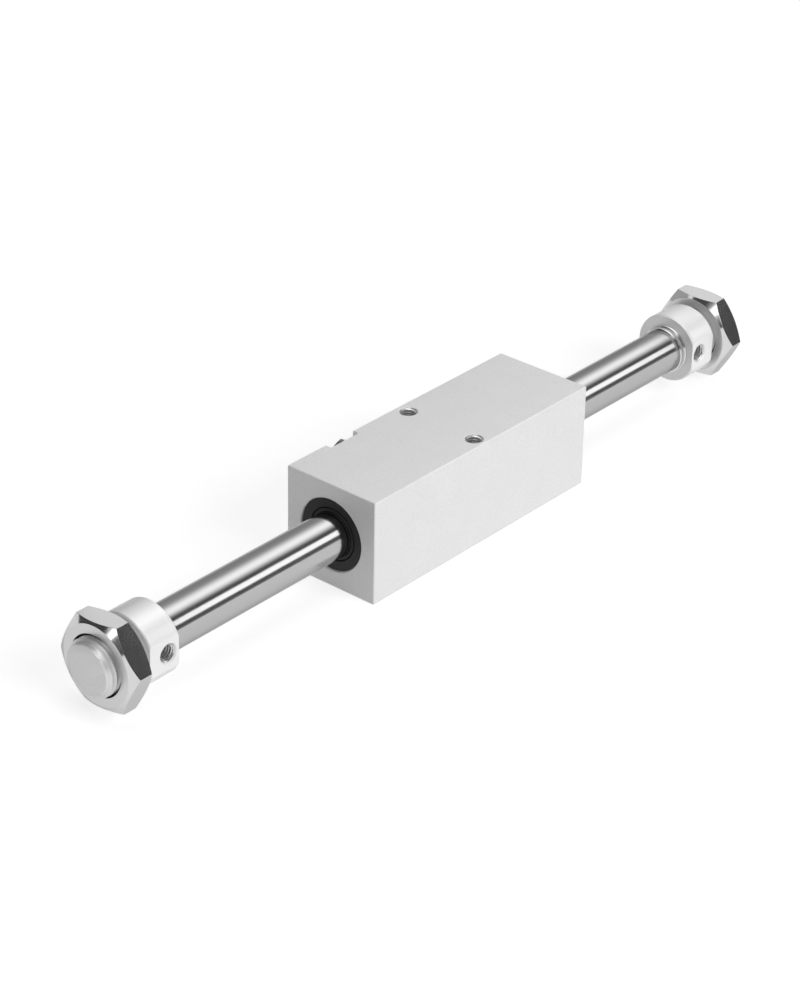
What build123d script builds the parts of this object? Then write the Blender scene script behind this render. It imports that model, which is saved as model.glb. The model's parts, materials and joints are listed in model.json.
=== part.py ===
from build123d import *
import math
import os

# Rodless pneumatic cylinder with a magnetically coupled slide.
# X runs along the barrel, Z is up and both air ports face -Y.
# The origin is on the barrel's axis, half way between the two end caps.
# The slide and the piston stand where the slide rests, slide_rest_x from the origin.
# All lengths are in millimetres.

# Stroke
stroke = 120.0
stroke_margin = 2.5
bumper_room = 0.25
slide_rest_x = 3.3

# Barrel tube
bore = 12.0
barrel_wall = 0.5

# Slide block
slide_length = 88.5
slide_width = 30.4
slide_height = 30.4
slide_bore = 21.0
slide_long_edge = 0.3
slide_end_edge = 0.2
slide_mouth_edge = 0.25

# Mounting holes in the slide's top face, M5
slide_hole_d = 5.0
slide_hole_spacing = 23.0
slide_hole_depth = 8.0
thread_lead_in = 0.2
drill_point_angle = 118.0

# Hexagon head screw in a milled seat on the slide's far side, M5
side_screw_d = 5.0
side_screw_across_flats = 8.0
side_screw_head = 2.0
side_screw_length = 4.4
side_screw_tip_edge = 0.5
side_screw_tip_room = 0.4
side_screw_x = -23.9
side_seat_length = 11.0
side_seat_room = 1.2
side_seat_corner = 1.5

# Wiper ring, retaining clip, guide bush and spacer, counted from the slide's end face inward
wiper_recess = 0.7
wiper_width = 2.5
wiper_lip_gap = 0.05
wiper_lip = 0.75
wiper_lip_root = 0.95
wiper_channel_rim = 1.2
wiper_channel_depth = 0.7
clip_thickness = 1.0
clip_groove_depth = 0.5
clip_ring_width = 1.3
clip_lug_r = 1.1
clip_eye_r = 0.5
clip_opening_angle = 50.0
outer_spacer_length = 2.95
spacer_gap = 0.6
bush_gap = 0.04
bush_grease_depth = 0.5
bush_land = 4.0

# Magnets and yokes, the same pitch inside and outside the barrel
magnet_count = 4
magnet_length = 7.0
yoke_length = 3.5
outer_yoke_gap = 0.3
outer_magnet_gap = 0.5
inner_yoke_gap = 0.25
inner_magnet_gap = 0.5

# Piston, spindle and their rings
spindle_d = 4.0
spindle_tip_edge = 0.4
piston_length = 10.0
piston_gap = 0.1
seal_width = 2.2
seal_start = 1.2
seal_depth = 1.35
seal_gap = 0.04
seal_lip_notch = 0.7
wear_width = 2.8
wear_start = 4.6
wear_depth = 0.9
wear_gap = 0.03
spindle_nut_across_flats = 7.0
spindle_nut_thickness = 2.2
spindle_nut_recess = 2.5
spindle_nut_room = 0.2

# End cap: a collar with a flat for the port, a spigot in the barrel and an M16 stub
cap_d = 20.5
cap_length = 10.0
cap_edge = 0.4
cap_flat_y = 9.2
barrel_seat_depth = 0.8
spigot_gap = 0.03
passage_d = 3.0
stub_d = 15.95
stub_length = 12.5
stub_chamfer = 1.2
relief_d = 13.9
relief_width = 1.8

# Air port in the cap's flat, M5
port_d = 5.0
port_from_face = 3.7
port_depth = 5.0
port_drill_d = 2.5
port_lead_in = 0.4

# Ring around the barrel in the cap's face, with a lip and a groove between lip and flange
barrel_ring_wall = 0.7
barrel_ring_flange = 0.55
barrel_ring_proud = 2.4
ring_lip_drop = 0.2
ring_lip_width = 1.05
ring_groove_drop = 0.45

# Static O-ring on the spigot and the bumper in its end
oring_section = 0.9
oring_groove_width = 1.2
bumper_d = 10.4
bumper_hole_d = 6.4
bumper_seat = 1.0
bumper_proud = 1.0
bumper_gap = 0.05

# Mounting nut on the stub, M16 x 1.5
nut_across_flats = 24.0
nut_thickness = 7.0
nut_face_d = 22.4
nut_gap = 2.4
nut_mouth_d = 17.2
nut_chamfer_angle = 30.0
left_nut_turn = -4.0

# Clearances shared by seats that don't move
seat_gap = 0.03
end_gap = 0.05

# Worked out from the sizes above
bore_r = bore / 2
barrel_r = bore_r + barrel_wall
slide_bore_r = slide_bore / 2
cap_r = cap_d / 2
stub_r = stub_d / 2
cap_face_x = slide_length / 2 + stroke / 2 + stroke_margin
barrel_length = 2 * (cap_face_x + barrel_seat_depth)
clip_groove_width = clip_thickness + 2 * end_gap
yoke_count = magnet_count + 1
stack_length = magnet_count * magnet_length + yoke_count * yoke_length
spindle_r = spindle_d / 2
piston_r = bore_r - piston_gap
piston_half = stack_length / 2 + piston_length
spigot_r = bore_r - spigot_gap
spigot_end_x = stroke / 2 + piston_half + bumper_room + bumper_proud
spigot_length = cap_face_x - spigot_end_x
cartridge_start = wiper_recess + wiper_width + clip_groove_width
bush_length = slide_length / 2 - cartridge_start - outer_spacer_length - stack_length / 2
cos30 = math.cos(math.radians(30))
from_mouth = (Align.CENTER, Align.CENTER, Align.MIN)


def turned(*points):
    """A solid turned about the X axis from (x, radius) points."""
    return revolve(make_face(Polyline(*points, close=True)), axis=Axis.X)


def ring(x0, x1, inner_r, outer_r):
    """A plain ring about the X axis."""
    return turned((x0, inner_r), (x1, inner_r), (x1, outer_r), (x0, outer_r))


def rod(x0, x1, r):
    """A plain round bar about the X axis."""
    return turned((x0, 0), (x1, 0), (x1, r), (x0, r))


def mirrored(shape):
    """The same piece at the other end."""
    return mirror(shape, about=Plane.YZ)


def hex_bar(across_flats, length):
    """A hexagon bar along +X from the origin, with two flats facing up and down."""
    corner_r = across_flats / 2 / cos30
    return extrude(Plane.YZ * RegularPolygon(corner_r, 6), amount=length)


def chamfered_hex(across_flats, face_d, length, bevel_start, bevel_end):
    """A hexagon bar whose corners are turned down to the face diameter at its ends."""
    corner_r = across_flats / 2 / cos30
    cut = (corner_r - face_d / 2) * math.tan(math.radians(nut_chamfer_angle))
    points = [(0, 0)]
    points += [(0, face_d / 2), (cut, corner_r)] if bevel_start else [(0, corner_r)]
    points += [(length - cut, corner_r), (length, face_d / 2)] if bevel_end else [(length, corner_r)]
    points += [(length, 0)]
    return hex_bar(across_flats, length) & turned(*points)


def stack_starts(length_first, length_second, count):
    """Where each piece of an alternating stack starts, centred on the origin."""
    pitch = length_first + length_second
    return [i * pitch - stack_length / 2 for i in range(count)]


def barrel_tube():
    return ring(-barrel_length / 2, barrel_length / 2, bore_r, barrel_r)


def end_cap():
    """The cap at the +X end, with its collar's inner face at cap_face_x."""
    ring_r = barrel_r + barrel_ring_wall + seat_gap
    groove_r = spigot_r - oring_section - seat_gap / 2
    groove_x = -spigot_length / 2 - oring_groove_width / 2
    bumper_r = bumper_d / 2 + seat_gap
    relief_x = cap_length + relief_width
    body = turned(
        (-spigot_length, bumper_r),
        (-spigot_length, spigot_r),
        (groove_x, spigot_r),
        (groove_x, groove_r),
        (groove_x + oring_groove_width, groove_r),
        (groove_x + oring_groove_width, spigot_r),
        (barrel_seat_depth, spigot_r),
        (barrel_seat_depth, ring_r),
        (0, ring_r),
        (0, cap_r - cap_edge),
        (cap_edge, cap_r),
        (cap_length - cap_edge, cap_r),
        (cap_length, cap_r - cap_edge),
        (cap_length, relief_d / 2),
        (relief_x, relief_d / 2),
        (relief_x + (stub_r - relief_d / 2), stub_r),
        (cap_length + stub_length - stub_chamfer, stub_r),
        (cap_length + stub_length, stub_r - stub_chamfer),
        (cap_length + stub_length, 0),
        (port_from_face + passage_d / 2, 0),
        (port_from_face + passage_d / 2, passage_d / 2),
        (bumper_seat - spigot_length, passage_d / 2),
        (bumper_seat - spigot_length, bumper_r),
    )
    beyond_flat = Pos(cap_length / 2, -cap_flat_y - cap_r / 2, 0) * Box(cap_length, cap_r, cap_d)
    port_plane = Plane((port_from_face, -cap_flat_y, 0), x_dir=(1, 0, 0), z_dir=(0, 1, 0))
    port = port_plane * Cylinder(port_d / 2, port_depth, align=from_mouth)
    mouth_r = port_d / 2 + port_lead_in
    mouth = port_plane * Cone(mouth_r, port_d / 2, port_lead_in, align=from_mouth)
    drill = port_plane * Cylinder(port_drill_d / 2, cap_flat_y, align=from_mouth)
    return Pos(cap_face_x, 0, 0) * (body - beyond_flat - port - mouth - drill)


def barrel_ring():
    """The ring that closes the cap's face around the barrel."""
    outer_r = barrel_r + barrel_ring_wall
    inner_r = barrel_r + seat_gap
    lip_r = outer_r - ring_lip_drop
    groove_r = outer_r - ring_groove_drop
    edge = lip_r - groove_r
    lip_end = ring_lip_width - barrel_ring_proud
    profile = turned(
        (barrel_seat_depth, inner_r),
        (barrel_seat_depth, outer_r),
        (-barrel_ring_flange + edge, outer_r),
        (-barrel_ring_flange, outer_r - edge),
        (-barrel_ring_flange, groove_r),
        (lip_end, groove_r),
        (lip_end - edge, lip_r),
        (-barrel_ring_proud + edge, lip_r),
        (-barrel_ring_proud, groove_r),
        (-barrel_ring_proud, inner_r),
    )
    return Pos(cap_face_x, 0, 0) * profile


def cap_o_ring():
    centre_r = spigot_r - oring_section / 2
    centre_x = cap_face_x - spigot_length / 2
    return revolve(Pos(centre_x, centre_r) * Circle(oring_section / 2), axis=Axis.X)


def end_bumper():
    """The elastic ring that the piston meets at the end of its travel."""
    start = spigot_end_x - bumper_proud
    return ring(start, spigot_end_x + bumper_seat, bumper_hole_d / 2, bumper_d / 2)


def mounting_nut():
    """The nut at the +X end."""
    hexagon = chamfered_hex(nut_across_flats, nut_face_d, nut_thickness, True, True)
    thread_r = stub_r + seat_gap
    mouth_r = nut_mouth_d / 2
    mouth = mouth_r - thread_r
    hole = turned(
        (0, 0),
        (0, mouth_r),
        (mouth, thread_r),
        (nut_thickness - mouth, thread_r),
        (nut_thickness, mouth_r),
        (nut_thickness, 0),
    )
    return Pos(cap_face_x + cap_length + nut_gap, 0, 0) * (hexagon - hole)


def side_screw_height():
    """The screw's axis lies so that one corner of its head is level with the top face."""
    return slide_height / 2 - side_screw_across_flats / 2 / cos30


def side_seat_floor():
    return slide_width / 2 - side_screw_head - end_gap


def slide_block():
    block = Box(slide_length, slide_width, slide_height)
    block = fillet(block.edges().filter_by(Axis.X), slide_long_edge)
    ends = block.faces().filter_by(Axis.X)
    block = chamfer(ends.edges(), slide_end_edge)
    half = slide_length / 2
    groove_start = half - wiper_recess - wiper_width - clip_groove_width
    groove_end = groove_start + clip_groove_width
    groove_r = slide_bore_r + clip_groove_depth
    mouth_r = slide_bore_r + slide_mouth_edge
    block -= turned(
        (-half, 0),
        (-half, mouth_r),
        (-half + slide_mouth_edge, slide_bore_r),
        (-groove_end, slide_bore_r),
        (-groove_end, groove_r),
        (-groove_start, groove_r),
        (-groove_start, slide_bore_r),
        (groove_start, slide_bore_r),
        (groove_start, groove_r),
        (groove_end, groove_r),
        (groove_end, slide_bore_r),
        (half - slide_mouth_edge, slide_bore_r),
        (half, mouth_r),
        (half, 0),
    )
    block -= slide_threaded_holes()
    block -= side_seat()
    return block


def slide_threaded_holes():
    """Two blind M5 holes with lead-in chamfers and drill points, along -Z from the top face."""
    hole_r = slide_hole_d / 2
    point = hole_r / math.tan(math.radians(drill_point_angle / 2))
    profile = make_face(
        Polyline(
            (0, 0),
            (hole_r + thread_lead_in, 0),
            (hole_r, -thread_lead_in),
            (hole_r, -slide_hole_depth),
            (0, -slide_hole_depth - point),
            close=True,
        )
    )
    hole = revolve(Plane.XZ * profile, axis=Axis.Z)
    top = slide_height / 2
    return [Pos(0, side * slide_hole_spacing / 2, top) * hole for side in (-1, 1)]


def side_seat():
    """The milled seat for the side screw's head, open to the top and the far side."""
    floor_y = side_seat_floor()
    axis_z = side_screw_height()
    depth = slide_width / 2 - floor_y
    low = axis_z - side_screw_across_flats / 2 - side_seat_room
    height = slide_height / 2 - low
    seat = Pos(side_screw_x, floor_y + depth / 2, low + height / 2) * Box(side_seat_length, depth, height)
    low_edges = seat.edges().filter_by(Axis.Y).group_by(Axis.Z)[0]
    seat = fillet(low_edges, side_seat_corner)
    hole_plane = Plane((side_screw_x, floor_y, axis_z), x_dir=(1, 0, 0), z_dir=(0, -1, 0))
    hole_r = side_screw_d / 2 + seat_gap
    hole_depth = side_screw_length + side_screw_tip_room
    hole = hole_plane * Cylinder(hole_r, hole_depth, align=from_mouth)
    return [seat, hole]


def side_screw():
    """A low hexagon head screw along Y, with its head's corner up."""
    face_d = side_screw_across_flats * nut_face_d / nut_across_flats
    head = chamfered_hex(side_screw_across_flats, face_d, side_screw_head, False, True)
    tip = side_screw_tip_edge
    shank_r = side_screw_d / 2
    shank = turned(
        (0, 0),
        (-side_screw_length, 0),
        (-side_screw_length, shank_r - tip),
        (-side_screw_length + tip, shank_r),
        (0, shank_r),
    )
    screw = Rot(0, 0, 90) * (Rot(30, 0, 0) * head + shank)
    return Pos(side_screw_x, side_seat_floor(), side_screw_height()) * screw


def wiper_ring():
    """The wiper at the slide's +X end, with its lip towards the outside."""
    face = slide_length / 2 - wiper_recess
    lip_r = barrel_r + wiper_lip_gap
    outer_r = slide_bore_r - seat_gap
    return turned(
        (face, lip_r),
        (face, lip_r + wiper_lip),
        (face - wiper_channel_depth, lip_r + wiper_lip_root),
        (face - wiper_channel_depth / 2, lip_r + wiper_channel_rim),
        (face, lip_r + wiper_channel_rim),
        (face, outer_r),
        (face - wiper_width, outer_r),
        (face - wiper_width, lip_r + wiper_lip_root),
        (face - wiper_width / 2, lip_r + wiper_lip_gap),
    )


def retaining_clip():
    """An open spring ring with two eyes, in the groove behind the wiper."""
    outer_r = slide_bore_r + clip_groove_depth - end_gap
    inner_r = outer_r - clip_ring_width
    eye_circle_r = inner_r + clip_eye_r - clip_lug_r / 2
    half_opening = clip_opening_angle / 2
    far_x = 2 * outer_r
    far_y = far_x * math.tan(math.radians(half_opening))
    half_gap = make_face(Polyline((0, 0), (far_x, 0), (far_x, far_y), close=True))
    sketch = Circle(outer_r) - Circle(inner_r) - half_gap - mirror(half_gap, about=Plane.XZ)
    eye_angle = half_opening + math.degrees(clip_lug_r / eye_circle_r)
    eyes = [Rot(0, 0, side * eye_angle) * Pos(eye_circle_r, 0) for side in (-1, 1)]
    for eye in eyes:
        sketch += eye * Circle(clip_lug_r)
    for eye in eyes:
        sketch -= eye * Circle(clip_eye_r)
    clip = extrude(Plane.YZ * Rot(0, 0, -90) * sketch, amount=clip_thickness)
    start = slide_length / 2 - wiper_recess - wiper_width - end_gap - clip_thickness
    return Pos(start, 0, 0) * clip


def guide_bush():
    """The plain bush that runs on the barrel, with a grease chamber between its two lands."""
    outer = slide_length / 2 - cartridge_start
    inner = outer - bush_length
    run_r = barrel_r + bush_gap
    chamber_r = run_r + bush_grease_depth
    slope = bush_grease_depth
    return turned(
        (inner, run_r),
        (inner + bush_land, run_r),
        (inner + bush_land + slope, chamber_r),
        (outer - bush_land - slope, chamber_r),
        (outer - bush_land, run_r),
        (outer, run_r),
        (outer, slide_bore_r - seat_gap),
        (inner, slide_bore_r - seat_gap),
    )


def outer_spacer():
    start = stack_length / 2
    return ring(start, start + outer_spacer_length, barrel_r + spacer_gap, slide_bore_r - seat_gap)


def outer_yokes():
    starts = stack_starts(yoke_length, magnet_length, yoke_count)
    return [ring(x, x + yoke_length, barrel_r + outer_yoke_gap, slide_bore_r - seat_gap) for x in starts]


def outer_magnets():
    starts = [x + yoke_length for x in stack_starts(yoke_length, magnet_length, magnet_count)]
    inner_r = barrel_r + outer_magnet_gap
    outer_r = slide_bore_r - 2 * seat_gap
    return [ring(x, x + magnet_length, inner_r, outer_r) for x in starts]


def inner_yokes():
    starts = stack_starts(yoke_length, magnet_length, yoke_count)
    return [ring(x, x + yoke_length, spindle_r + seat_gap, bore_r - inner_yoke_gap) for x in starts]


def inner_magnets():
    starts = [x + yoke_length for x in stack_starts(yoke_length, magnet_length, magnet_count)]
    inner_r = spindle_r + 2 * seat_gap
    outer_r = bore_r - inner_magnet_gap
    return [ring(x, x + magnet_length, inner_r, outer_r) for x in starts]


def piston_spindle():
    half = piston_half - spindle_nut_recess + spindle_nut_thickness
    tip = spindle_tip_edge
    return turned(
        (-half, 0),
        (-half, spindle_r - tip),
        (-half + tip, spindle_r),
        (half - tip, spindle_r),
        (half, spindle_r - tip),
        (half, 0),
    )


def piston():
    """The piston at the +X end of the magnet stack, with grooves for its seal and wear ring."""
    start = stack_length / 2
    seal_x = start + seal_start
    wear_x = start + wear_start
    recess_x = start + piston_length - spindle_nut_recess
    recess_r = spindle_nut_across_flats / 2 / cos30 + spindle_nut_room
    hole_r = spindle_r + seat_gap
    return turned(
        (start, hole_r),
        (start, piston_r),
        (seal_x, piston_r),
        (seal_x, piston_r - seal_depth),
        (seal_x + seal_width, piston_r - seal_depth),
        (seal_x + seal_width, piston_r),
        (wear_x, piston_r),
        (wear_x, piston_r - wear_depth),
        (wear_x + wear_width, piston_r - wear_depth),
        (wear_x + wear_width, piston_r),
        (start + piston_length, piston_r),
        (start + piston_length, recess_r),
        (recess_x, recess_r),
        (recess_x, hole_r),
    )


def piston_seal():
    """A lip seal that opens towards the pressure side."""
    start = stack_length / 2 + seal_start + end_gap
    end = start + seal_width - 2 * end_gap
    inner_r = piston_r - seal_depth + seat_gap
    outer_r = bore_r - seal_gap
    middle_r = (inner_r + outer_r) / 2
    return turned(
        (start, inner_r),
        (start, outer_r - piston_gap),
        (end, outer_r),
        (end, middle_r + seal_lip_notch / 2),
        (end - seal_lip_notch, middle_r),
        (end, middle_r - seal_lip_notch / 2),
        (end, inner_r),
    )


def piston_wear_ring():
    start = stack_length / 2 + wear_start + end_gap
    end = start + wear_width - 2 * end_gap
    return ring(start, end, piston_r - wear_depth + seat_gap, bore_r - wear_gap)


def spindle_nut():
    face_d = spindle_nut_across_flats * nut_face_d / nut_across_flats
    nut = chamfered_hex(spindle_nut_across_flats, face_d, spindle_nut_thickness, False, True)
    nut -= rod(0, spindle_nut_thickness, spindle_r + seat_gap)
    return Pos(piston_half - spindle_nut_recess, 0, 0) * nut


def save(name, shape):
    export_step(shape, f"parts/{name}.step")


def save_pair(name, shape, place):
    save(f"{name}_right", place * shape)
    save(f"{name}_left", place * mirrored(shape))


os.makedirs("parts", exist_ok=True)
at_middle = Pos(0, 0, 0)
at_rest = Pos(slide_rest_x, 0, 0)

save("barrel_tube", barrel_tube())
save_pair("end_cap", end_cap(), at_middle)
save_pair("barrel_ring", barrel_ring(), at_middle)
save_pair("cap_o_ring", cap_o_ring(), at_middle)
save_pair("end_bumper", end_bumper(), at_middle)
save("mounting_nut_right", mounting_nut())
save("mounting_nut_left", Rot(left_nut_turn, 0, 0) * mirrored(mounting_nut()))

save("slide_block", at_rest * slide_block())
save_pair("wiper_ring", wiper_ring(), at_rest)
save_pair("retaining_clip", retaining_clip(), at_rest)
save_pair("guide_bush", guide_bush(), at_rest)
save_pair("outer_spacer", outer_spacer(), at_rest)
save("outer_yokes", at_rest * Compound(outer_yokes()))
save("outer_magnets", at_rest * Compound(outer_magnets()))
save("side_screw", at_rest * side_screw())

save("piston_spindle", at_rest * piston_spindle())
save("inner_yokes", at_rest * Compound(inner_yokes()))
save("inner_magnets", at_rest * Compound(inner_magnets()))
save_pair("piston", piston(), at_rest)
save_pair("piston_seal", piston_seal(), at_rest)
save_pair("piston_wear_ring", piston_wear_ring(), at_rest)
save_pair("spindle_nut", spindle_nut(), at_rest)
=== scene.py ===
# %% [markdown]
# # A rodless pneumatic cylinder
#
# A square slide travels along a polished barrel. A piston inside the barrel pulls it by magnets,
# so the barrel stays closed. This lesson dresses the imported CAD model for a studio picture.
# The CAD solids give every size. Blender adds the screw threads, the finishes and the light.

# %% Load the frame
import json
import math
import bmesh
import bpy
from mathutils import Matrix, Vector


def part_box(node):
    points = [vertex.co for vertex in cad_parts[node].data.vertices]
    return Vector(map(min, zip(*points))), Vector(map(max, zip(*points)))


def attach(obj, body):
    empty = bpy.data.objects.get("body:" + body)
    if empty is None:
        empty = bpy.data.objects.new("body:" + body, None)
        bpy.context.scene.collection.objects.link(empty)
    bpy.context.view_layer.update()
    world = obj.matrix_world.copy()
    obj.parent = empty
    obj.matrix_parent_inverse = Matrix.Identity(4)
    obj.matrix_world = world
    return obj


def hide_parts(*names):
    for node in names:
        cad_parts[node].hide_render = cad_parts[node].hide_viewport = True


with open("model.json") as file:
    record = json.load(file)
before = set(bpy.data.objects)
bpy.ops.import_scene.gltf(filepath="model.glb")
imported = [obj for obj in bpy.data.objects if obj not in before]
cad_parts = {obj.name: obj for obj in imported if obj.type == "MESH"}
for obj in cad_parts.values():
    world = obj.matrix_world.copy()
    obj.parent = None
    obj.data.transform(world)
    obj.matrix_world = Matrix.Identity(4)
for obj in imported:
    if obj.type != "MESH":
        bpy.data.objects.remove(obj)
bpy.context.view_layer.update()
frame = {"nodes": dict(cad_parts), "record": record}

MM = 0.001
nodes = frame["nodes"]
record = frame["record"]

# %% [markdown]
# ## The camera
#
# The photograph's camera was worked out from the edges of the slide, the barrel's outline and
# the two end caps. That gives its place and the three directions of its frame, so the camera
# can be set from them with no aiming. The long lens keeps the far end nearly as large as the near.

# %% Camera
eye = Vector((-551.26, -454.71, 397.49)) * MM
camera_right = Vector((0.65215, -0.75792, 0.01587))
camera_down = Vector((-0.36429, -0.33168, -0.87022))
camera_forward = Vector((0.66482, 0.56173, -0.49241))

camera_data = bpy.data.cameras.new("studio_camera")
camera_data.lens = 109.07
camera_data.sensor_width = 36.0
camera_data.clip_start = 0.05
camera_data.clip_end = 20.0
camera = bpy.data.objects.new("studio_camera", camera_data)
bpy.context.scene.collection.objects.link(camera)
turn = Matrix((camera_right, -camera_down, -camera_forward)).transposed().to_4x4()
camera.matrix_world = Matrix.Translation(eye) @ turn
bpy.context.scene.camera = camera
print("camera", round(eye.length / MM), "mm from the middle of the barrel")

# %% [markdown]
# ## One function for every node
#
# Shader trees and Geometry Nodes trees are built alike: a node, a few settings, and for each
# input either a value or another node's output. One small function does all three.
# Colours are written as the hex codes that a picture shows, and turned to linear light once.

# %% Helpers for node trees


def add(tree, kind, inputs=None, **settings):
    """Adds a node. inputs gives a socket a value, or an output of another node to link."""
    node = tree.nodes.new(kind)
    for name, value in settings.items():
        setattr(node, name, value)
    for key, value in (inputs or {}).items():
        if isinstance(value, bpy.types.NodeSocket):
            tree.links.new(value, node.inputs[key])
        else:
            node.inputs[key].default_value = value
    return node


def linear(hex_code):
    """An sRGB hex colour as linear red, green, blue and alpha."""
    parts = [int(hex_code[i : i + 2], 16) / 255 for i in (1, 3, 5)]
    return [c / 12.92 if c <= 0.04045 else ((c + 0.055) / 1.055) ** 2.4 for c in parts] + [1.0]


def per_mm(size):
    """The texture scale that repeats once in that many millimetres."""
    return 1 / (size * MM)


print("white", linear("#FFFFFF"), "mid grey", round(linear("#808080")[0], 3))

# %% [markdown]
# ## Starting a finish
#
# Each finish starts from a Principled shader with its own base colour, metallic and roughness.
# The pattern nodes are added after that. All of them read Object coordinates, which are metres
# in the frame of the model here, so a pattern's size is its real size.

# %% Start a material


def start_finish(name, colour, metallic, roughness, **more):
    """A new material with its shader. Returns the material, its tree, shader and coordinates."""
    material = bpy.data.materials.new(name)
    material.use_nodes = True
    tree = material.node_tree
    tree.nodes.clear()
    shader = add(tree, "ShaderNodeBsdfPrincipled", {
        "Base Color": linear(colour), "Metallic": metallic, "Roughness": roughness, **more})
    output = add(tree, "ShaderNodeOutputMaterial", {"Surface": shader.outputs[0]})
    output.is_active_output = True
    place = add(tree, "ShaderNodeTexCoord").outputs["Object"]
    return material, tree, shader, place


def roughen(tree, shader, height, depth_mm, strength):
    """Bump from a height pattern whose hills are that many millimetres high."""
    bump = add(tree, "ShaderNodeBump", {
        "Height": height, "Distance": depth_mm * MM, "Strength": strength})
    tree.links.new(bump.outputs[0], shader.inputs["Normal"])


noise_low, noise_high = 0.3, 0.7  # a noise seldom leaves this range


def vary(tree, socket, pattern, low, high):
    """Drives a socket of the shader between two values by a noise pattern."""
    spread = add(tree, "ShaderNodeMapRange", {
        "Value": pattern, "From Min": noise_low, "From Max": noise_high,
        "To Min": low, "To Max": high})
    tree.links.new(spread.outputs[0], socket)


def tint(tree, shader, pattern, dark, light):
    """Blends the base colour between two hex colours by a pattern from 0 to 1."""
    colour_a, colour_b = 6, 7  # the sockets of a Mix node that blends colours
    blend = add(tree, "ShaderNodeMix", {
        "Factor": pattern, colour_a: linear(dark), colour_b: linear(light)}, data_type="RGBA")
    tree.links.new(blend.outputs[2], shader.inputs["Base Color"])


finishes = {}
print("ready for finishes")

# %% [markdown]
# ## Turning marks
#
# A lathe leaves rings: along a cylinder they follow one another in X, and on an end face they are
# circles round the axis. Adding X and the distance from the axis gives one number that changes
# across the rings on both, and a noise along that number draws them. Real feed marks are about
# 0.1 mm apart, which is too fine to show, so they are drawn 0.35 mm apart.

# %% Turning marks pattern
ring_spacing = 0.35


def turning_marks(tree, place):
    """A pattern from 0 to 1 of rings round the X axis."""
    parts = add(tree, "ShaderNodeSeparateXYZ", {0: place})
    flat = add(tree, "ShaderNodeVectorMath", {0: place, 1: (0.0, 1.0, 1.0)}, operation="MULTIPLY")
    radius = add(tree, "ShaderNodeVectorMath", {0: flat.outputs[0]}, operation="LENGTH")
    across = add(tree, "ShaderNodeMath", {
        0: parts.outputs[0], 1: radius.outputs["Value"]}, operation="ADD")
    rings = add(tree, "ShaderNodeTexNoise", {
        "W": across.outputs[0], "Scale": per_mm(ring_spacing), "Detail": 3.0},
        noise_dimensions="1D")
    return rings.outputs["Fac"]


print("rings drawn", ring_spacing, "mm apart")

# %% [markdown]
# ## Blasted and anodised aluminium, for the slide
#
# The slide is sawn from square bar, milled, blasted with fine glass beads and clear anodised.
# Beads of about 0.1 mm leave a matt skin with no direction. That is too fine to show, so a noise
# of 0.28 mm drives the bump and the shade, and a slow one of 9 mm adds faint clouds.

# %% Blasted anodised aluminium
material, tree, shader, place = start_finish(
    "blasted_anodised_aluminium", "#E6E6E6", metallic=0.25, roughness=0.5)
beads = add(tree, "ShaderNodeTexNoise", {
    "Vector": place, "Scale": per_mm(0.28), "Detail": 4.0, "Roughness": 0.6})
clouds = add(tree, "ShaderNodeTexNoise", {"Vector": place, "Scale": per_mm(9.0), "Detail": 3.0})
cloud_share = 0.12
shades = add(tree, "ShaderNodeMix", {
    "Factor": cloud_share, "A": beads.outputs["Fac"], "B": clouds.outputs["Fac"]})
tint(tree, shader, shades.outputs[0], "#CCCCCC", "#FCFCFC")
vary(tree, shader.inputs["Roughness"], beads.outputs["Fac"], low=0.46, high=0.56)
roughen(tree, shader, beads.outputs["Fac"], depth_mm=0.012, strength=0.35)
finishes["anodised_block"] = material
print(material.name, "for the slide")

# %% [markdown]
# ## Turned and anodised aluminium, for the caps
#
# The caps are turned from bar and clear anodised with no blasting, so they keep a satin gloss
# and their feed marks.

# %% Turned anodised aluminium
material, tree, shader, place = start_finish(
    "turned_anodised_aluminium", "#ECECEC", metallic=0.3, roughness=0.36)
marks = turning_marks(tree, place)
vary(tree, shader.inputs["Roughness"], marks, low=0.34, high=0.42)
tint(tree, shader, marks, "#E9E9E9", "#F6F6F6")
roughen(tree, shader, marks, depth_mm=0.004, strength=0.3)
finishes["turned_aluminium"] = material
print(material.name, "for the caps and their threads")

# %% [markdown]
# ## Polished stainless steel, for the barrel
#
# The barrel is drawn stainless tube, ground without centres and polished. It mirrors the studio
# in long clean bands. A faint unevenness, stretched along the tube, keeps the bands from looking
# drawn. Fine scratches dull real steel at glancing angles, which the Specular Tint stands for.

# %% Polished stainless steel
edge_tint = {"Specular Tint": linear("#D0D0D0")}
material, tree, shader, place = start_finish(
    "polished_stainless_steel", "#BCBCBC", metallic=1.0, roughness=0.14, **edge_tint)
streaks = add(tree, "ShaderNodeMapping", {"Vector": place, "Scale": (0.25, 1.0, 1.0)})
polish = add(tree, "ShaderNodeTexNoise", {
    "Vector": streaks.outputs[0], "Scale": per_mm(0.8), "Detail": 4.0})
vary(tree, shader.inputs["Roughness"], polish.outputs["Fac"], low=0.12, high=0.16)
roughen(tree, shader, polish.outputs["Fac"], depth_mm=0.0008, strength=0.25)
finishes["stainless_barrel"] = material
print(material.name, "for the barrel")

# %% [markdown]
# ## Bright plated steel, for the nuts and the side screw
#
# The nuts are cut from cold drawn hexagon bar and nickel plated. Drawing and plating leave the
# facets and the chamfers nearly mirrors, so their pattern is only a hair of unevenness.

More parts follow.
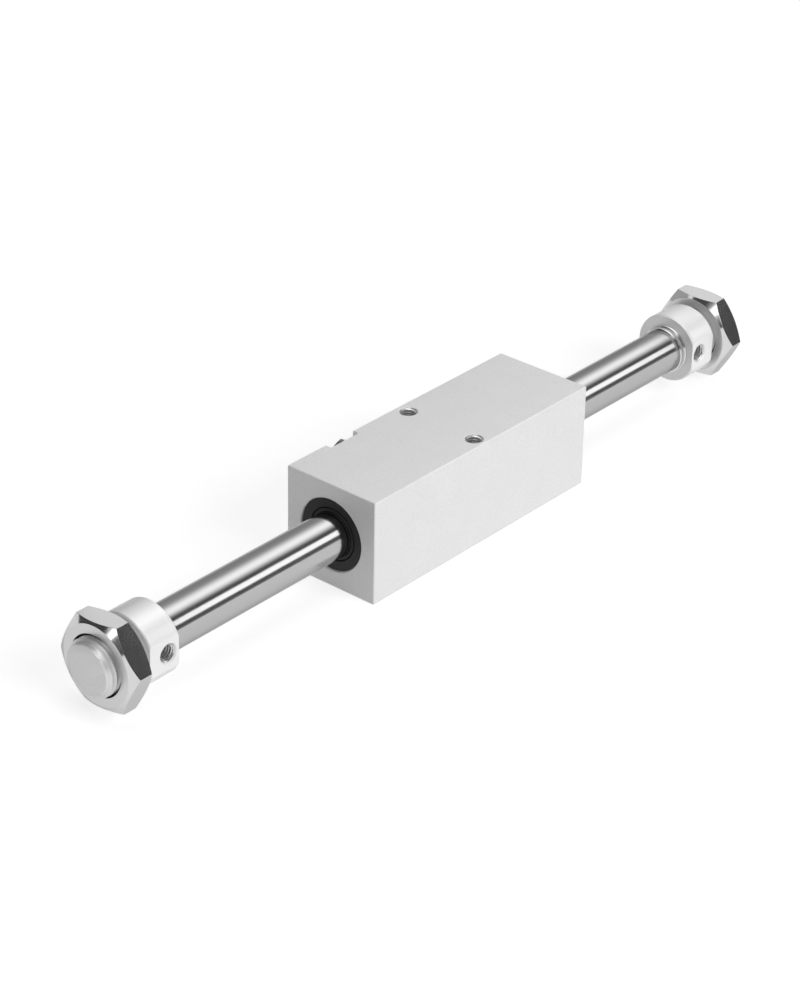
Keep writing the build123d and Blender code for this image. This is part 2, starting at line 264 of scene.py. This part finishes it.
# %% Bright plated steel
material, tree, shader, place = start_finish(
    "nickel_plated_steel", "#DDDDDC", metallic=1.0, roughness=0.1, **edge_tint)
marks = turning_marks(tree, place)
pits = add(tree, "ShaderNodeTexNoise", {"Vector": place, "Scale": per_mm(0.5), "Detail": 5.0})
both = add(tree, "ShaderNodeMath", {0: marks, 1: pits.outputs["Fac"]}, operation="MULTIPLY")
vary(tree, shader.inputs["Roughness"], pits.outputs["Fac"], low=0.08, high=0.13)
tint(tree, shader, both.outputs[0], "#D6D6D6", "#E4E4E4")
roughen(tree, shader, both.outputs[0], depth_mm=0.004, strength=0.25)
finishes["plated_steel"] = material
print(material.name, "for the nuts")

# %% [markdown]
# ## The turned metals
#
# The rings round the barrel, the spindle, the yokes, the magnets and the spring clips differ in
# colour and gloss, and share the turning marks. So do two surfaces of the nuts: their satin
# turned faces, and the cone at the mouth of their thread, whose near black is painted shade
# for the shadow in the gap round the stub.
# A table gives each its own values.

# %% Turned metals
turned_metals = {
    "bright_ring": ("turned_stainless_steel", "#DADADA", 0.2),
    "spindle_steel": ("ground_spindle_steel", "#BDBDBE", 0.25),
    "yoke_iron": ("turned_soft_iron", "#8A8A8C", 0.42),
    "magnet_nickel": ("nickel_plated_magnet", "#B5B3AC", 0.28),
    "spring_steel": ("phosphated_spring_steel", "#3C3C3E", 0.55),
    "nut_face": ("nickel_plated_turned_face", "#D0D0D0", 0.33),
    # The mouth cone's near black is painted shade for the shadow in the gap round the stub.
    "nut_mouth": ("blackened_cut_steel", "#2A2A2A", 0.5),
}
for slot_name, (name, colour, gloss) in turned_metals.items():
    material, tree, shader, place = start_finish(
        name, colour, metallic=1.0, roughness=gloss)
    marks = turning_marks(tree, place)
    vary(tree, shader.inputs["Roughness"], marks, low=gloss - 0.04, high=gloss + 0.05)
    roughen(tree, shader, marks, depth_mm=0.004, strength=0.3)
    finishes[slot_name] = material
print(len(turned_metals), "turned metals")

# %% [markdown]
# ## Rubber, elastomer and bearing polymer
#
# The wiper is moulded in a matt black compound, the seals in nitrile rubber, the bumpers in
# cast polyurethane and the bushes in a filled polymer. Moulded rubber has a fine dull grain
# with no direction, which a noise stands for. It is coarser on the wiper, which looks mottled.

# %% Moulded materials
moulded = {
    "black_wiper": ("moulded_wiper_rubber", "#020202", "#2C2C2C", 0.72, 0.7),
    "black_rubber": ("nitrile_rubber", "#141414", "#1E1E1E", 0.6, 0.25),
    "bumper_elastomer": ("cast_polyurethane", "#B08A3C", "#BC9646", 0.4, 0.25),
    "bush_polymer": ("filled_bearing_polymer", "#2C2C2E", "#3A3A3C", 0.5, 0.25),
}
for slot_name, (name, dark, light, gloss, grain_mm) in moulded.items():
    material, tree, shader, place = start_finish(
        name, dark, metallic=0.0, roughness=gloss)
    grain = add(tree, "ShaderNodeTexNoise", {
        "Vector": place, "Scale": per_mm(grain_mm), "Detail": 5.0, "Roughness": 0.7})
    tint(tree, shader, grain.outputs["Fac"], dark, light)
    vary(tree, shader.inputs["Roughness"], grain.outputs["Fac"],
         low=gloss - 0.06, high=gloss + 0.06)
    roughen(tree, shader, grain.outputs["Fac"], depth_mm=0.01, strength=0.4)
    finishes[slot_name] = material
print(len(moulded), "moulded materials")

# %% [markdown]
# ## Threads cut in aluminium
#
# A tap or a die leaves bare bright flanks. Deep in a hole they mirror each other and look dark
# between light crests, so the tapped finish is more metallic than the skin round it. The stubs'
# threads are anodised with their caps, which dulls them a little.

# %% Cut threads
cut_threads = {
    "tapped_aluminium": ("#D8D8D8", 0.85, 0.24),
    "chased_aluminium": ("#E2E2E2", 0.55, 0.34),
}
for name, (colour, metallic, gloss) in cut_threads.items():
    material, tree, shader, place = start_finish(name, colour, metallic, gloss)
    chatter = add(tree, "ShaderNodeTexNoise", {
        "Vector": place, "Scale": per_mm(0.2), "Detail": 2.0})
    vary(tree, shader.inputs["Roughness"], chatter.outputs["Fac"],
         low=gloss - 0.05, high=gloss + 0.06)
    finishes[name] = material
print("tapped for the ports and the slide's holes, chased for the stubs")

# %% [markdown]
# ## Giving every CAD node its finish
#
# The record names a material slot for each node, so one loop dresses them all. The photograph's
# barrel shows its bands right up to the slide, so the slide's own image is kept off the mirrors.

# %% Dress the CAD nodes
slot_of = {part["node"]: part["material_slot"] for part in record["subparts"]}


def dress(piece, finish):
    """Gives the piece that one material."""
    piece.data.materials.clear()
    piece.data.materials.append(finish)


for name, node in nodes.items():
    dress(node, finishes[slot_of[name]])
nodes["slide_block"].visible_glossy = False
print("dressed", len(nodes), "nodes in", len(finishes), "finishes")

# %% [markdown]
# ## A screw thread as a Geometry Nodes tree
#
# The CAD leaves the helix out: its holes have their wall at the thread's outer diameter. A thread
# is one rule: the height above the root depends only on how far a point lies from the crest,
# and the crest moves on by one pitch each turn. So a flat grid is wrapped round the axis and
# its radius follows that rule. The grid goes out along the thread and comes back just under the
# surface, which makes it a closed ring. Ramps of 45 degrees at both ends are the chamfers.

# %% Tree of the screw thread
merge_distance = 0.001 * MM
grid_share = 0.97  # of the grid goes out along the thread, the rest comes back
half_flank = math.radians(30)
started_home = 0.0001
thread_sizes = {
    "Root radius": 2.5 * MM, "Height": 0.4 * MM, "Pitch": 0.8 * MM, "Crest": 0.2 * MM,
    "Length": 4.0 * MM, "Outward": 1.0, "Embed": 0.05 * MM,
}
thread = bpy.data.node_groups.new("screw_thread", "GeometryNodeTree")
for name, size in thread_sizes.items():
    socket = thread.interface.new_socket(name, in_out="INPUT", socket_type="NodeSocketFloat")
    socket.default_value = size
for name, kind in (("Steps along", "NodeSocketInt"), ("Steps round", "NodeSocketInt"),
                   ("Turn", "NodeSocketRotation"), ("Place", "NodeSocketVector"),
                   ("Finish", "NodeSocketMaterial")):
    thread.interface.new_socket(name, in_out="INPUT", socket_type=kind)
thread.interface.new_socket("Thread", in_out="OUTPUT", socket_type="NodeSocketGeometry")

given = add(thread, "NodeGroupInput").outputs
grid = add(thread, "GeometryNodeMeshGrid", {
    "Size X": 1.0, "Size Y": 1.0,
    "Vertices X": given["Steps along"], "Vertices Y": given["Steps round"]})
position = add(thread, "GeometryNodeInputPosition")
on_grid = add(thread, "ShaderNodeSeparateXYZ", {0: position.outputs[0]})
values = {name: given[name] for name in thread_sizes}
values["grid x"], values["grid y"] = on_grid.outputs[0], on_grid.outputs[1]
thread_rule = [
    ("u", "ADD", "grid x", 0.5),
    ("v", "ADD", "grid y", 0.5),
    ("u out", "DIVIDE", "u", grid_share),
    ("out", "MINIMUM", "u out", 1.0),
    ("u home", "SUBTRACT", "u", grid_share),
    ("u home share", "DIVIDE", "u home", 1 - grid_share),
    ("home", "MAXIMUM", "u home share", 0.0),
    ("on the way", "SUBTRACT", "out", "home"),
    ("along", "MULTIPLY", "on the way", "Length"),
    ("turns along", "DIVIDE", "along", "Pitch"),
    ("turns", "SUBTRACT", "turns along", "v"),
    ("in turn", "FRACT", "turns", 0.0),
    ("from middle", "SUBTRACT", "in turn", 0.5),
    ("off middle", "ABSOLUTE", "from middle", 0.0),
    ("off crest", "MULTIPLY", "off middle", "Pitch"),
    ("half crest", "MULTIPLY", "Crest", 0.5),
    ("down flank", "SUBTRACT", "off crest", "half crest"),
    ("drop", "DIVIDE", "down flank", math.tan(half_flank)),
    ("flank", "SUBTRACT", "Height", "drop"),
    ("under crest", "MINIMUM", "flank", "Height"),
    ("ridge", "MAXIMUM", "under crest", 0.0),
    ("ramp out", "SUBTRACT", "Length", "along"),
    ("in ramps", "MINIMUM", "along", "ramp out"),
    ("cut ridge", "MINIMUM", "ridge", "in ramps"),
    ("is home", "GREATER_THAN", "home", started_home),
    ("is out", "SUBTRACT", 1.0, "is home"),
    ("shown", "MULTIPLY", "cut ridge", "is out"),
    ("sunk", "MULTIPLY", "Embed", "is home"),
    ("height", "SUBTRACT", "shown", "sunk"),
    ("rise", "MULTIPLY", "height", "Outward"),
    ("radius", "ADD", "Root radius", "rise"),
    ("angle", "MULTIPLY", "v", 2 * math.pi),
    ("cosine", "COSINE", "angle", 0.0),
    ("sine", "SINE", "angle", 0.0),
    ("across", "MULTIPLY", "radius", "cosine"),
    ("up", "MULTIPLY", "radius", "sine"),
]
for name, operation, *terms in thread_rule:
    inputs = {i: values[t] if isinstance(t, str) else t for i, t in enumerate(terms)}
    values[name] = add(thread, "ShaderNodeMath", inputs, operation=operation).outputs[0]
wrapped = add(thread, "ShaderNodeCombineXYZ", {
    0: values["along"], 1: values["across"], 2: values["up"]})
rolled = add(thread, "GeometryNodeSetPosition", {
    "Geometry": grid.outputs["Mesh"], "Position": wrapped.outputs[0]})
closed = add(thread, "GeometryNodeMergeByDistance", {
    "Geometry": rolled.outputs[0], "Distance": merge_distance})
placed = add(thread, "GeometryNodeTransform", {
    "Geometry": closed.outputs[0], "Rotation": given["Turn"], "Translation": given["Place"]})
real = add(thread, "GeometryNodeRealizeInstances", {"Geometry": placed.outputs[0]})
finished = add(thread, "GeometryNodeSetMaterial", {
    "Geometry": real.outputs[0], "Material": given["Finish"]})
add(thread, "NodeGroupOutput", {"Thread": finished.outputs[0]})
print("screw thread tree with", len(thread.nodes), "nodes")

# %% [markdown]
# ## Cutting a thread
#
# The tree runs on an empty mesh. Its result becomes a plain mesh, whose faces are turned outward
# and whose flanks stay crisp where they meet at more than 35 degrees.

# %% Function that makes a thread
flank_angle = math.radians(35)


def plain_mesh(piece, name):
    """The evaluated shape of a piece as a new plain object, with its faces turned outward."""
    graph = bpy.context.evaluated_depsgraph_get()
    mesh = bpy.data.meshes.new_from_object(piece.evaluated_get(graph))
    bpy.data.objects.remove(piece)
    mesh.name = name
    shape = bmesh.new()
    shape.from_mesh(mesh)
    bmesh.ops.recalc_face_normals(shape, faces=shape.faces)
    shape.to_mesh(mesh)
    shape.free()
    mesh.shade_smooth()
    mesh.set_sharp_from_angle(angle=flank_angle)
    result = bpy.data.objects.new(name, mesh)
    bpy.context.scene.collection.objects.link(result)
    return result


def cut_thread(name, sizes, turn, place, finish):
    """A thread of those sizes from place along the turned X axis."""
    blank = bpy.data.objects.new(name + "_blank", bpy.data.meshes.new(name + "_blank"))
    bpy.context.scene.collection.objects.link(blank)
    modifier = blank.modifiers.new("thread", "NODES")
    modifier.node_group = thread
    inputs = {**thread_sizes, **sizes, "Turn": turn, "Place": place, "Finish": finish}
    for socket in thread.interface.items_tree:
        if socket.in_out == "INPUT":
            modifier[socket.identifier] = inputs[socket.name]
    return plain_mesh(blank, name)


print("threads follow the ISO form, 60 degrees between the flanks")

# %% [markdown]
# ## The M5 threads in the ports and in the slide
#
# A coarse M5 thread has a pitch of 0.8 mm. Inside a hole its ridge stands 0.541 of a pitch
# above the outer diameter, with a crest a quarter of a pitch wide. The lead-in of each
# hole ends where the ridge starts.

# %% Cut the M5 threads
pitch_m5 = 0.8 * MM
inner_m5 = {
    "Root radius": 2.49 * MM, "Height": 0.5413 * pitch_m5, "Pitch": pitch_m5, "Crest": pitch_m5 / 4,
    "Outward": -1.0, "Embed": 0.03 * MM, "Steps along": 120, "Steps round": 49,
}
port_x = 110.45 * MM
port_mouth_y = -9.2 * MM
port_lead_in = 0.4 * MM
port_thread = 4.5 * MM
towards_back = (0.0, 0.0, math.radians(90))
for end, side in (("left", -1), ("right", 1)):
    place = (side * port_x, port_mouth_y + port_lead_in, 0.0)
    piece = cut_thread("port_thread_" + end, {**inner_m5, "Length": port_thread},
                       towards_back, place, finishes["tapped_aluminium"])
    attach(piece, "cylinder")
    print(piece.name, len(piece.data.polygons), "faces")

slide_low, slide_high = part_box("slide_block")
hole_spacing = 23.0 * MM
hole_lead_in = 0.2 * MM
hole_thread = 7.6 * MM
downward = (0.0, math.radians(90), 0.0)
for end, side in (("left", 1), ("right", -1)):
    place = ((slide_low.x + slide_high.x) / 2, side * hole_spacing / 2, slide_high.z - hole_lead_in)
    sizes = {**inner_m5, "Length": hole_thread, "Steps along": 190}
    piece = cut_thread("slide_thread_" + end, sizes, downward, place, finishes["tapped_aluminium"])
    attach(piece, "slide")
    print(piece.name, len(piece.data.polygons), "faces")

# %% [markdown]
# ## The caps with their M16 stubs
#
# The CAD cap has a plain stub at the thread's outer diameter. A copy of it has that stub turned
# down to the thread's root, as a bar is before the thread stands on it, and the helix is a
# piece of its own. The copy is merged first, because a CAD mesh is loose triangles.

# %% Turn the stubs down and cut their threads
pitch_m16 = 1.5 * MM
stub_radius = 7.975 * MM
outer_height = 0.6134 * pitch_m16
outer_m16 = {
    "Root radius": stub_radius - outer_height, "Height": outer_height, "Pitch": pitch_m16,
    "Crest": pitch_m16 / 8, "Outward": 1.0, "Embed": 0.06 * MM,
    "Steps along": 190, "Steps round": 97,
}
below_root = 0.01 * MM
core_radius = outer_m16["Root radius"] - below_root
collar_face_x = 116.75 * MM
stub_middle_x = 123.0 * MM
thread_start_x = 118.6 * MM
stub_chamfer = 1.2 * MM
crisp_angle = math.radians(15)


def merged_copy(node):
    """A bmesh of the CAD node with its doubled corners merged."""
    shape = bmesh.new()
    shape.from_mesh(node.data)
    bmesh.ops.remove_doubles(shape, verts=shape.verts, dist=merge_distance)
    return shape


def piece_from(shape, name, finish):
    """An object from a bmesh, smooth but for its crisp edges."""
    mesh = bpy.data.meshes.new(name)
    shape.to_mesh(mesh)
    shape.free()
    mesh.shade_smooth()
    mesh.set_sharp_from_angle(angle=crisp_angle)
    mesh.materials.append(finish)
    piece = bpy.data.objects.new(name, mesh)
    bpy.context.scene.collection.objects.link(piece)
    return piece


for end, side in (("left", -1), ("right", 1)):
    shape = merged_copy(nodes["end_cap_" + end])
    for vertex in shape.verts:
        x = abs(vertex.co.x)
        radius = math.hypot(vertex.co.y, vertex.co.z)
        if x > collar_face_x + merge_distance and radius > core_radius:
            back = radius - core_radius
            vertex.co.y *= core_radius / radius
            vertex.co.z *= core_radius / radius
            vertex.co.x += side * (back if x > stub_middle_x else -back)
    cap = piece_from(shape, "cap_" + end, finishes["turned_aluminium"])
    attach(cap, "cylinder")
    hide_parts("end_cap_" + end)
    stub_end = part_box("end_cap_" + end)[1 if side > 0 else 0].x
    stub_thread = abs(stub_end) - stub_chamfer + outer_height - thread_start_x
    screw = cut_thread("stub_thread_" + end, {**outer_m16, "Length": stub_thread},
                       (0.0, 0.0, 0.0) if side > 0 else (0.0, 0.0, math.pi),
                       (side * thread_start_x, 0.0, 0.0), finishes["chased_aluminium"])
    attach(screw, "cylinder")
    print(screw.name, len(screw.data.polygons), "faces")

# %% [markdown]
# ## Nuts and screw with rounded edges
#
# No real edge is sharp: tumbling before plating rounds them by a tenth or two of a millimetre,
# and that thin round catches a line of light. A merged copy of each hexagon piece gets its flat
# faces joined to single faces again, and a Bevel modifier rounds the edges between them. The
# nuts' turned faces get a finish of their own, and the cones at their mouths get a near black
# that is painted shade for the gap round the stub.

# %% Round the edges of the hexagon pieces
edge_round = 0.22 * MM
same_plane = math.radians(1)
bevel_from = math.radians(18)
mouth_radius = 8.65 * MM
faces_the_end = 0.99
face_slot, mouth_slot = 1, 2
hexagon_pieces = {
    "mounting_nut_left": "cylinder", "mounting_nut_right": "cylinder", "side_screw": "slide"}
for name, body in hexagon_pieces.items():
    is_nut = body == "cylinder"
    shape = merged_copy(nodes[name])
    bmesh.ops.dissolve_limit(shape, angle_limit=same_plane, verts=shape.verts, edges=shape.edges)
    shape.normal_update()
    for face in shape.faces:
        # The mouth cone gets the near black painted shade for the gap round the stub.
        if is_nut and all(math.hypot(v.co.y, v.co.z) < mouth_radius for v in face.verts):
            face.material_index = mouth_slot
        elif is_nut and abs(face.normal.x) > faces_the_end:
            face.material_index = face_slot
    piece = piece_from(shape, name + "_rounded", finishes[slot_of[name]])
    if is_nut:
        piece.data.materials.append(finishes["nut_face"])
        piece.data.materials.append(finishes["nut_mouth"])
    bevel = piece.modifiers.new("edge_round", "BEVEL")
    bevel.width = edge_round if is_nut else edge_round / 2
    bevel.segments = 2
    bevel.limit_method = "ANGLE"
    bevel.angle_limit = bevel_from
    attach(piece, body)
    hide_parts(name)
    print(piece.name, len(piece.data.polygons), "faces before the bevel")

# %% [markdown]
# ## The floor and the white backdrop
#
# The slide lies on white paper. The paper is lit like the part, and a glow in its material lifts
# it to white for the camera. Reflections see the same paper a little under white, so that bright
# metal still stands out against it. The part's shadow stays on it.

# %% Floor
floor_half = 4.0
glow_seen = 0.66
glow_mirrored = 0.53
low_z = slide_low.z
floor_mesh = bpy.data.meshes.new("floor")
signs = ((-1, -1), (1, -1), (1, 1), (-1, 1))
floor_corners = [(x * floor_half, y * floor_half, low_z) for x, y in signs]
floor_mesh.from_pydata(floor_corners, [], [(0, 1, 2, 3)])
floor = bpy.data.objects.new("floor", floor_mesh)
bpy.context.scene.collection.objects.link(floor)
paper = bpy.data.materials.new("white_paper")
paper.use_nodes = True
tree = paper.node_tree
tree.nodes.clear()
rays = add(tree, "ShaderNodeLightPath")
for_camera = add(tree, "ShaderNodeMath", {
    0: rays.outputs["Is Camera Ray"], 1: glow_seen}, operation="MULTIPLY")
for_gloss = add(tree, "ShaderNodeMath", {
    0: rays.outputs["Is Glossy Ray"], 1: glow_mirrored}, operation="MULTIPLY")
glow_level = add(tree, "ShaderNodeMath", {
    0: for_camera.outputs[0], 1: for_gloss.outputs[0]}, operation="ADD")
diffuse = add(tree, "ShaderNodeBsdfDiffuse", {"Color": linear("#C4C4C4")})
glow = add(tree, "ShaderNodeEmission", {
    "Color": linear("#FFFFFF"), "Strength": glow_level.outputs[0]})
total = add(tree, "ShaderNodeAddShader", {0: diffuse.outputs[0], 1: glow.outputs[0]})
add(tree, "ShaderNodeOutputMaterial", {"Surface": total.outputs[0]})
dress(floor, paper)
print("floor at", round(low_z / MM, 2), "mm")

# %% [markdown]
# ## The world
#
# The world is weak soft light from everywhere. Camera and glossy rays see it white.

# %% World
soft_level = 0.17
world = bpy.data.worlds.new("studio_world")
bpy.context.scene.world = world
world.use_nodes = True
tree = world.node_tree
tree.nodes.clear()
rays = add(tree, "ShaderNodeLightPath")
seen = add(tree, "ShaderNodeMath", {
    0: rays.outputs["Is Camera Ray"], 1: rays.outputs["Is Glossy Ray"]}, operation="MAXIMUM")
level = add(tree, "ShaderNodeMapRange", {
    "Value": seen.outputs[0], "To Min": soft_level, "To Max": 1.0})
sky = add(tree, "ShaderNodeBackground", {
    "Color": linear("#FFFFFF"), "Strength": level.outputs[0]})
add(tree, "ShaderNodeOutputWorld", {"Surface": sky.outputs[0]})
print("world level", soft_level, "for diffuse light")

# %% [markdown]
# ## Lamps
#
# One large soft lamp stands on the side of the ports and one hangs overhead. Together they light
# the side with the ports most, then the top. A weak third one looks at the end faces, which stay
# the darkest. All three stand well clear of the slide at both ends of its travel.

# %% Lamps


def soft_lamp(name, direction, distance, size, watts):
    """A square area lamp that looks at the middle of the part from that direction."""
    data = bpy.data.lights.new(name, "AREA")
    data.size = size
    data.energy = watts
    lamp = bpy.data.objects.new(name, data)
    bpy.context.scene.collection.objects.link(lamp)
    away = Vector(direction).normalized()
    lamp.rotation_mode = "QUATERNION"
    lamp.location = away * distance
    lamp.rotation_quaternion = away.to_track_quat("Z", "Y")
    lamp.visible_glossy = False


soft_lamp("side_lamp", direction=(0.02, -1.0, 0.45), distance=1.6, size=1.2, watts=21.5)
soft_lamp("top_lamp", direction=(0.08, 0.1, 1.0), distance=1.6, size=1.4, watts=9.3)
soft_lamp("end_lamp", direction=(-0.9, 0.4, 0.06), distance=0.9, size=0.5, watts=0.62)
print(len(bpy.data.lights), "lamps")

# %% [markdown]
# ## Reflection screens
#
# Polished metal shows what stands round it. Along the barrel the photograph shows, from the back
# over the top to the front: grey, a bright ceiling that fades on both sides, dark, one narrow
# white strip, and dark again down to the floor. A curved screen over the part gives these bands.
# Its brightness follows the angle round the barrel through a ramp. Only reflections see it.

# %% Function for a reflection screen
screen_radius = 0.15
screen_steps = 60
arc_start, arc_sweep = 3, 174
brightest = 2.0


def reflection_screen(name, x_from, x_to, levels):
    """An arch over the part between two x. levels pairs degrees from +Y with a brightness."""
    mesh = bpy.data.meshes.new(name)
    arc = [math.radians(arc_start + arc_sweep * i / screen_steps) for i in range(screen_steps + 1)]
    rim = [(screen_radius * math.cos(a), screen_radius * math.sin(a)) for a in arc]
    rows = [(x, y, z) for y, z in rim for x in (x_from, x_to)]
    quads = [(2 * i, 2 * i + 1, 2 * i + 3, 2 * i + 2) for i in range(screen_steps)]
    mesh.from_pydata(rows, [], quads)
    screen = bpy.data.objects.new(name, mesh)
    bpy.context.scene.collection.objects.link(screen)
    paint = bpy.data.materials.new(name)
    paint.use_nodes = True
    tree = paint.node_tree
    tree.nodes.clear()
    place = add(tree, "ShaderNodeTexCoord").outputs["Object"]
    parts = add(tree, "ShaderNodeSeparateXYZ", {0: place})
    angle = add(tree, "ShaderNodeMath", {
        0: parts.outputs[2], 1: parts.outputs[1]}, operation="ARCTAN2")
    share = add(tree, "ShaderNodeMath", {0: angle.outputs[0], 1: math.pi}, operation="DIVIDE")
    ramp = add(tree, "ShaderNodeValToRGB", {0: share.outputs[0]})
    stops = ramp.color_ramp.elements
    while len(stops) < len(levels):
        stops.new(0.5)  # each stop gets its place below
    for stop, (degrees, level) in zip(stops, levels):
        stop.position = degrees / 180
    for stop, (degrees, level) in zip(stops, levels):
        stop.color = (level / brightest, level / brightest, level / brightest, 1.0)
    glow = add(tree, "ShaderNodeEmission", {"Color": ramp.outputs[0], "Strength": brightest})
    add(tree, "ShaderNodeOutputMaterial", {"Surface": glow.outputs[0]})
    dress(screen, paint)
    screen.visible_camera = False
    screen.visible_diffuse = False
    screen.visible_shadow = False


print("screens stand", screen_radius / MM, "mm from the barrel's axis")

# %% [markdown]
# ## The bands along the part
#
# One screen carries the strip that the barrel shows. The others hang where the nuts look, each
# over its own stretch of X: light over the back for their top facets, dark in front for the
# facets towards the ports, and far to the left dark with one bright spot, which makes the dark
# crescent and the white spark on the near nut's chamfer. The stretches were found by following
# the camera's lines of sight from each surface. Each pair is an angle and its brightness.

# %% Screens along the part
barrel_bands = [
    (0, 0.47), (22, 0.42), (40, 0.44), (49, 0.53), (58, 0.78), (67, 1.16), (76, 1.57), (85, 1.74),
    (94, 1.66), (103, 1.18), (112, 0.51), (120, 0.12), (132.5, 0.12), (135.5, 1.9), (154, 1.95),
    (158, 0.13), (172, 0.13), (180, 0.5)]
dark_front = [(120, 0.08), (172, 0.08), (180, 0.5)]
screens = [
    ("screen_dim", -2.4, -0.6,
     [(0, 0.1), (50, 0.12), (60, 0.3), (70, 0.15), (112, 0.12)] + dark_front),
    ("screen_spark", -0.6, -0.4,
     [(0, 0.06), (44, 0.06), (49, 2.0), (90, 2.0), (112, 1.0)] + dark_front),
    ("screen_left", -0.4, -0.205,
     [(0, 0.06), (44, 0.06), (84, 0.12), (93, 2.0), (112, 1.6), (140, 0.4), (172, 0.08),
      (180, 0.5)]),
    ("screen_shade", -0.205, -0.0295,
     [(0, 0.06), (72, 0.08), (90, 0.4), (97, 2.0), (115, 2.0)] + dark_front),
    ("screen_near_nut", -0.0295, -0.004,
     [(0, 0.1), (28, 0.1), (32, 0.95), (60, 0.9), (76, 1.5), (94, 1.6), (103, 1.18), (112, 0.4)]
     + dark_front),
    ("screen_barrel", -0.004, 0.266, barrel_bands),
    ("screen_far_nut", 0.266, 1.6,
     [(0, 0.5), (15, 1.0), (56, 1.02), (62, 0.1)] + dark_front),
]
for name, x_from, x_to, levels in screens:
    reflection_screen(name, x_from, x_to, levels)
print(len(screens), "screens")

# %% [markdown]
# ## The view's settings and the end
#
# The picture is shown with the Standard transform. The dressed part has to stay inside the
# CAD box.

# %% Finish
bpy.context.scene.view_settings.view_transform = "Standard"
